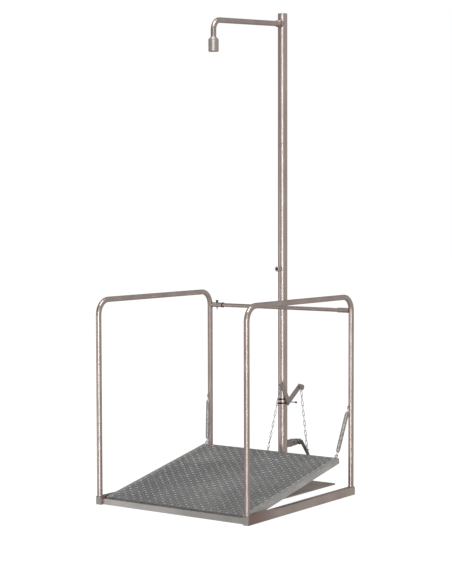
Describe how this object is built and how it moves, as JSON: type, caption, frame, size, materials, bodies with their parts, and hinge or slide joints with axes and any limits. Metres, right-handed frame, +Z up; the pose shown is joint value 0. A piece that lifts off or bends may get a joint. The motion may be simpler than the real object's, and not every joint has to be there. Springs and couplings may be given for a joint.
{
  "type": "emergency shower",
  "caption": "Walk-on emergency shower: a sprung tilting platform in a tubular guard frame opens the valve of an overhead shower by chains and a bell crank.",
  "frame": {"origin": "on the floor under the standpipe's axis, on the underside of the floor plate", "axes": "+Z up along the standpipe, -Y towards the entry side where the user walks on, +X to the right of a person facing +Y"},
  "size_m": [0.906, 1.1707, 2.44],
  "materials": {
    "brushed_tube": "drawn stainless tube, brushed along its length",
    "ground_steel": "satin ground stainless strip",
    "tread_deck": "grey-green pressed anti-slip tread, matt",
    "dark_fittings": "dark oiled steel",
    "valve_casting": "investment-cast stainless, bead blasted",
    "zinc_chain": "bright plated wire"
  },
  "bodies": {
    "root": {"side_bar_left": "brushed_tube", "side_bar_right": "brushed_tube", "bar_cap_front_left": "ground_steel", "bar_cap_front_right": "ground_steel", "bar_cap_rear_left": "brushed_tube", "bar_cap_rear_right": "brushed_tube", "front_bar": "ground_steel", "tie_strap": "brushed_tube", "floor_plate": "brushed_tube", "guard_rail_left": "brushed_tube", "guard_rail_right": "brushed_tube", "upright_lug_left": "brushed_tube", "upright_lug_right": "brushed_tube", "cross_socket_left": "brushed_tube", "cross_socket_right": "brushed_tube", "cross_bar": "brushed_tube", "standpipe": "brushed_tube", "pipe_cap": "brushed_tube", "overhead_arm": "brushed_tube", "nozzle_body": "brushed_tube", "spray_plate": "dark_fittings", "side_port": "brushed_tube", "port_plug": "dark_fittings", "hinge_pin_left": "brushed_tube", "hinge_pin_right": "brushed_tube", "crank_hoop_lower": "dark_fittings", "crank_hoop_upper": "dark_fittings", "hoop_bolt_lower": "dark_fittings", "hoop_bolt_upper": "dark_fittings", "crank_spindle": "brushed_tube", "spindle_nut": "dark_fittings", "inlet_socket": "brushed_tube", "union_nut": "brushed_tube", "valve_body": "valve_casting", "inlet_connector": "brushed_tube", "gland_nut": "dark_fittings"},
    "platform": {"tread_plate": "tread_deck", "platform_side_left": "ground_steel", "platform_side_right": "ground_steel", "platform_front": "ground_steel", "platform_rear": "ground_steel", "platform_rib": "ground_steel", "platform_lug_left": "ground_steel", "platform_lug_right": "ground_steel", "chain_lug": "ground_steel"},
    "bell_crank": {"bell_crank": "brushed_tube", "crank_front_pin": "dark_fittings", "crank_rear_pin": "dark_fittings"},
    "valve_lever": {"valve_lever": "dark_fittings", "valve_stem": "dark_fittings", "valve_ball": "ground_steel", "lever_nut": "ground_steel", "lever_pin": "ground_steel"},
    "platform_chain": {"platform_chain": "zinc_chain"},
    "valve_chain": {"valve_chain": "zinc_chain"},
    "spring_left": {"spring_left": "brushed_tube"},
    "spring_right": {"spring_right": "brushed_tube"},
    "spring_hook_left": {"spring_hook_left": "zinc_chain"},
    "spring_hook_right": {"spring_hook_right": "zinc_chain"},
    "locking_pin": {"locking_pin": "dark_fittings"}
  },
  "joints": [
    {"name": "platform_tilt", "type": "hinge", "parent": "root", "child": "platform", "pos_m": [0, -0.918, 0.024], "axis": [1, 0, 0], "range_deg": [-11.2, 0], "stiffness_Nm_per_rad": 300, "springref_deg": 25.78},
    {"name": "bell_crank_turn", "type": "hinge", "parent": "root", "child": "bell_crank", "pos_m": [0.0355, 0, 0.438], "axis": [1, 0, 0], "range_deg": [0, 93.28]},
    {"name": "valve_turn", "type": "hinge", "parent": "root", "child": "valve_lever", "pos_m": [0, 0.105, 0.21], "axis": [1, 0, 0], "range_deg": [0, 90.05]},
    {"name": "platform_chain_swing", "type": "hinge", "parent": "platform", "child": "platform_chain", "pos_m": [-0.02, -0.11323, 0.18131], "axis": [1, 0, 0], "range_deg": [0, 18.72]},
    {"name": "valve_chain_swing", "type": "hinge", "parent": "valve_lever", "child": "valve_chain", "pos_m": [0.044, 0.16735, 0.16466], "axis": [1, 0, 0], "range_deg": [-60.25, 0]},
    {"name": "spring_left_swing", "type": "hinge", "parent": "root", "child": "spring_left", "pos_m": [-0.436, -0.062, 0.445], "axis": [0.9281, 0.3695, 0.0456], "range_deg": [0, 8.37]},
    {"name": "spring_left_stretch", "type": "slide", "parent": "spring_left", "child": "spring_hook_left", "axis": [0.1359, -0.2222, -0.9655], "range_m": [0, 0.1538], "deforming": ["spring_left"]},
    {"name": "spring_right_swing", "type": "hinge", "parent": "root", "child": "spring_right", "pos_m": [0.436, -0.062, 0.445], "axis": [0.9281, -0.3695, -0.0456], "range_deg": [0, 8.37]},
    {"name": "spring_right_stretch", "type": "slide", "parent": "spring_right", "child": "spring_hook_right", "axis": [-0.1359, -0.2222, -0.9655], "range_m": [0, 0.1538], "deforming": ["spring_right"]},
    {"name": "locking_pin_pull", "type": "slide", "parent": "root", "child": "locking_pin", "axis": [0, 0, 1], "range_m": [0, 0.06]}
  ],
  "couplings": [
    {"joint": "bell_crank_turn", "follows": "platform_tilt", "ratio": -8.324},
    {"joint": "valve_turn", "follows": "platform_tilt", "ratio": -8.0357},
    {"joint": "platform_chain_swing", "follows": "platform_tilt", "ratio": -1.6672},
    {"joint": "valve_chain_swing", "follows": "platform_tilt", "ratio": 5.3753},
    {"joint": "spring_left_swing", "follows": "platform_tilt", "ratio": -0.7432},
    {"joint": "spring_left_stretch", "follows": "platform_tilt", "m_per_rad": -0.78422},
    {"joint": "spring_right_swing", "follows": "platform_tilt", "ratio": -0.7432},
    {"joint": "spring_right_stretch", "follows": "platform_tilt", "m_per_rad": -0.78422}
  ]
}
